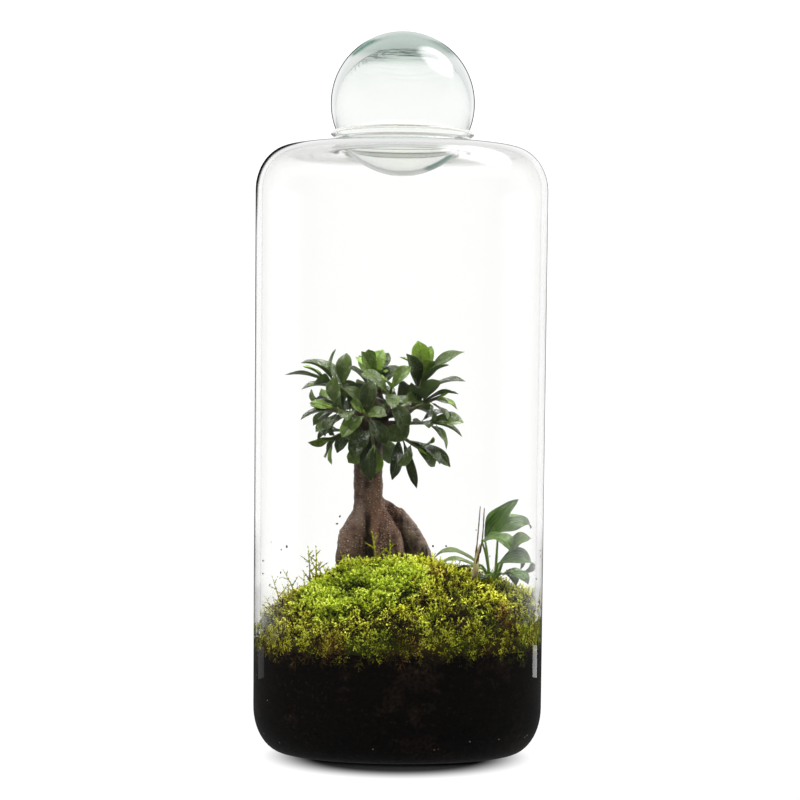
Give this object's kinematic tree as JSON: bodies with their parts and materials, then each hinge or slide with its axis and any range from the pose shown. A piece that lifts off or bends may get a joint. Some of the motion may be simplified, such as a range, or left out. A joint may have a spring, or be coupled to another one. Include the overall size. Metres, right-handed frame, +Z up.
{
  "type": "glass plant terrarium",
  "caption": "Tall closed glass jar with a hollow glass ball resting in its neck, planted with moss over dark soil, a small ginseng fig and a young peace lily.",
  "frame": {"origin": "on the jar's axis, in the plane that its foot stands on", "axes": "+Z up along the jar's axis, -Y towards the viewer of the planting's front, +X to the peace lily's side"},
  "size_m": [0.203, 0.203, 0.4994],
  "materials": {
    "jar_glass": "clear, smooth",
    "ball_glass": "clear with a faint green tint, smooth",
    "soil": "loose, moist, matt",
    "moss": "matt, leafy",
    "spikemoss": "matt, leafy",
    "bark": "rough bark",
    "fig_leaf": "glossy, leathery",
    "lily_leaf": "satin",
    "straw": "dry, matt"
  },
  "bodies": {
    "root": {"glass_jar": "jar_glass", "glass_ball": "ball_glass", "potting_soil": "soil", "moss_carpet": "moss", "spikemoss_patch": "spikemoss", "fig_wood": "bark", "fig_shoot_left_top": "fig_leaf", "fig_shoot_top": "fig_leaf", "fig_shoot_right_top": "fig_leaf", "fig_shoot_right_upper": "fig_leaf", "fig_shoot_right_middle": "fig_leaf", "fig_shoot_right_low": "fig_leaf", "fig_shoot_front_top": "fig_leaf", "fig_shoot_front": "fig_leaf", "fig_shoot_front_low": "fig_leaf", "fig_shoot_left_front": "fig_leaf", "fig_shoot_left_middle": "fig_leaf", "fig_shoot_left_low": "fig_leaf", "fig_shoot_back_top": "fig_leaf", "fig_shoot_back_left": "fig_leaf", "fig_shoot_back_right": "fig_leaf", "fig_shoot_back_low": "fig_leaf", "peace_lily": "lily_leaf", "dry_stalks": "straw"}
  },
  "joints": []
}
